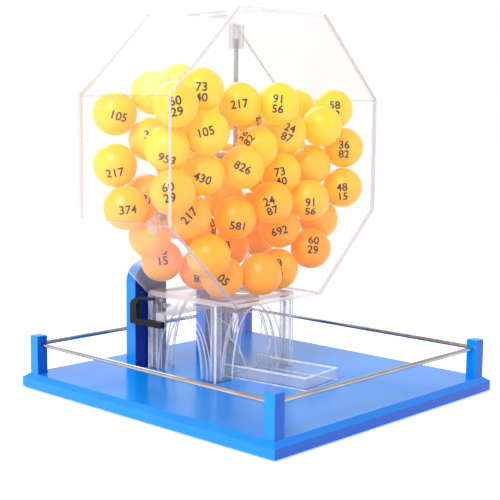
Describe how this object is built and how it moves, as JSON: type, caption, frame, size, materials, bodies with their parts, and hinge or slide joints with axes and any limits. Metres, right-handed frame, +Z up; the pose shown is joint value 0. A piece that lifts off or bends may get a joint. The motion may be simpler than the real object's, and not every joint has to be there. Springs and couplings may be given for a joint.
{
  "type": "ball draw machine",
  "caption": "Clear octagonal ball drum with a hand-cranked stirrer, outlet shutter, chute and loose tray, on a blue base with chrome rails.",
  "frame": {"origin": "middle of the base's footprint, on the table", "axes": "+Z up, -Y towards the drum's front and the ball tray, +X to the right seen from the front; the crank is at +Y"},
  "size_m": [0.31, 0.327, 0.3652],
  "materials": {
    "blue": "glossy azure blue",
    "clear": "clear polished acrylic",
    "chrome": "polished",
    "steel": "bright zinc",
    "black": "satin black",
    "rubber": "matt",
    "brass": "turned",
    "ball": "soft sheen orange"
  },
  "bodies": {
    "frame": {"balls_back": "ball", "balls_front": "ball", "base_board": "blue", "bearing_bush": "brass", "bearing_flange": "black", "bearing_screws": "steel", "chute_ramp": "clear", "corner_post_back_left": "blue", "corner_post_back_right": "blue", "corner_post_front_left": "blue", "corner_post_front_right": "blue", "drum_back_panel": "clear", "drum_bolts": "steel", "drum_front_panel": "clear", "drum_spacers": "clear", "drum_wall_bottom": "clear", "drum_wall_left": "clear", "drum_wall_lower_left": "clear", "drum_wall_lower_right": "clear", "drum_wall_right": "clear", "drum_wall_top": "clear", "drum_wall_upper_left": "clear", "drum_wall_upper_right": "clear", "hatch_fixed_leaf": "steel", "hatch_hinge_pin": "steel", "outlet_throat": "clear", "post_screws": "steel", "rail_back": "chrome", "rail_front": "chrome", "rail_left": "chrome", "rail_right": "chrome", "rubber_feet": "rubber", "shutter_guide": "clear", "stand_back_panel": "clear", "stand_front_panel": "clear", "stand_left_panel": "clear", "stand_legs": "clear", "stand_right_panel": "clear", "stand_screws": "steel", "stand_top_plate": "clear", "upright_left": "blue", "upright_right": "blue", "upright_screws": "steel"},
    "stirrer": {"stirrer_axle": "steel", "stirrer_hub": "clear", "stirrer_rods": "steel", "stirrer_paddles": "clear", "shaft_collars": "steel", "crank_arm": "steel", "crank_pin": "steel", "crank_cap_nut": "steel"},
    "knob": {"crank_knob": "black"},
    "shutter": {"shutter_plate": "clear", "shutter_handle": "black"},
    "hatch": {"hatch_lid": "clear", "hatch_lid_leaf": "steel", "hatch_leaf_rivets": "steel", "hatch_knob": "clear"},
    "tray": {"ball_tray": "clear"}
  },
  "joints": [
    {"name": "crank_turn", "type": "hinge", "parent": "frame", "child": "stirrer", "pos_m": [0, 0.091, 0.2227], "axis": [0, 1, 0], "continuous": true},
    {"name": "knob_spin", "type": "hinge", "parent": "stirrer", "child": "knob", "pos_m": [0, 0.131, 0.1627], "axis": [0, 1, 0], "continuous": true},
    {"name": "shutter_slide", "type": "slide", "parent": "frame", "child": "shutter", "axis": [-1, 0, 0], "range_m": [0, 0.031]},
    {"name": "hatch_hinge", "type": "hinge", "parent": "frame", "child": "hatch", "pos_m": [0, 0.064, 0.3585], "axis": [-1, 0, 0], "range_deg": [0, 105]},
    {"name": "tray_slide", "type": "slide", "parent": "frame", "child": "tray", "axis": [0.1219, -0.9925, 0], "range_m": [0, 0.06]}
  ]
}
